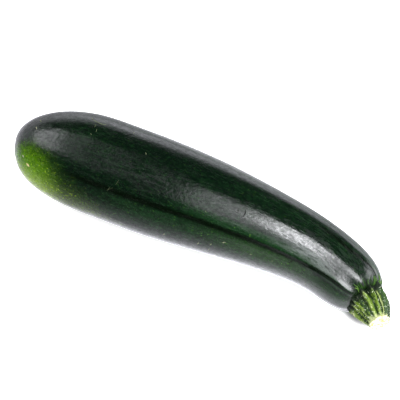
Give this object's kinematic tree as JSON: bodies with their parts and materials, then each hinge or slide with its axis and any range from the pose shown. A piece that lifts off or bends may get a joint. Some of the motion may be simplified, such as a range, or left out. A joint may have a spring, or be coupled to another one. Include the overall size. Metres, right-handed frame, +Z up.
{
  "type": "courgette",
  "caption": "Whole dark green courgette lying on its side, gently bent, fat at the blossom end and tapering to a ribbed cut stalk.",
  "frame": {"origin": "centre of the bounding box in plan, on the surface that the courgette lies on", "axes": "+Z up; +X from the blossom end to the stalk; +Y towards the outside of the bend"},
  "size_m": [0.2052, 0.0523, 0.0488],
  "materials": {
    "skin": "waxy, dark green, finely mottled",
    "stalk": "ribbed, light green, pale cut face"
  },
  "bodies": {
    "root": {"fruit": "skin", "stalk": "stalk"}
  },
  "joints": []
}
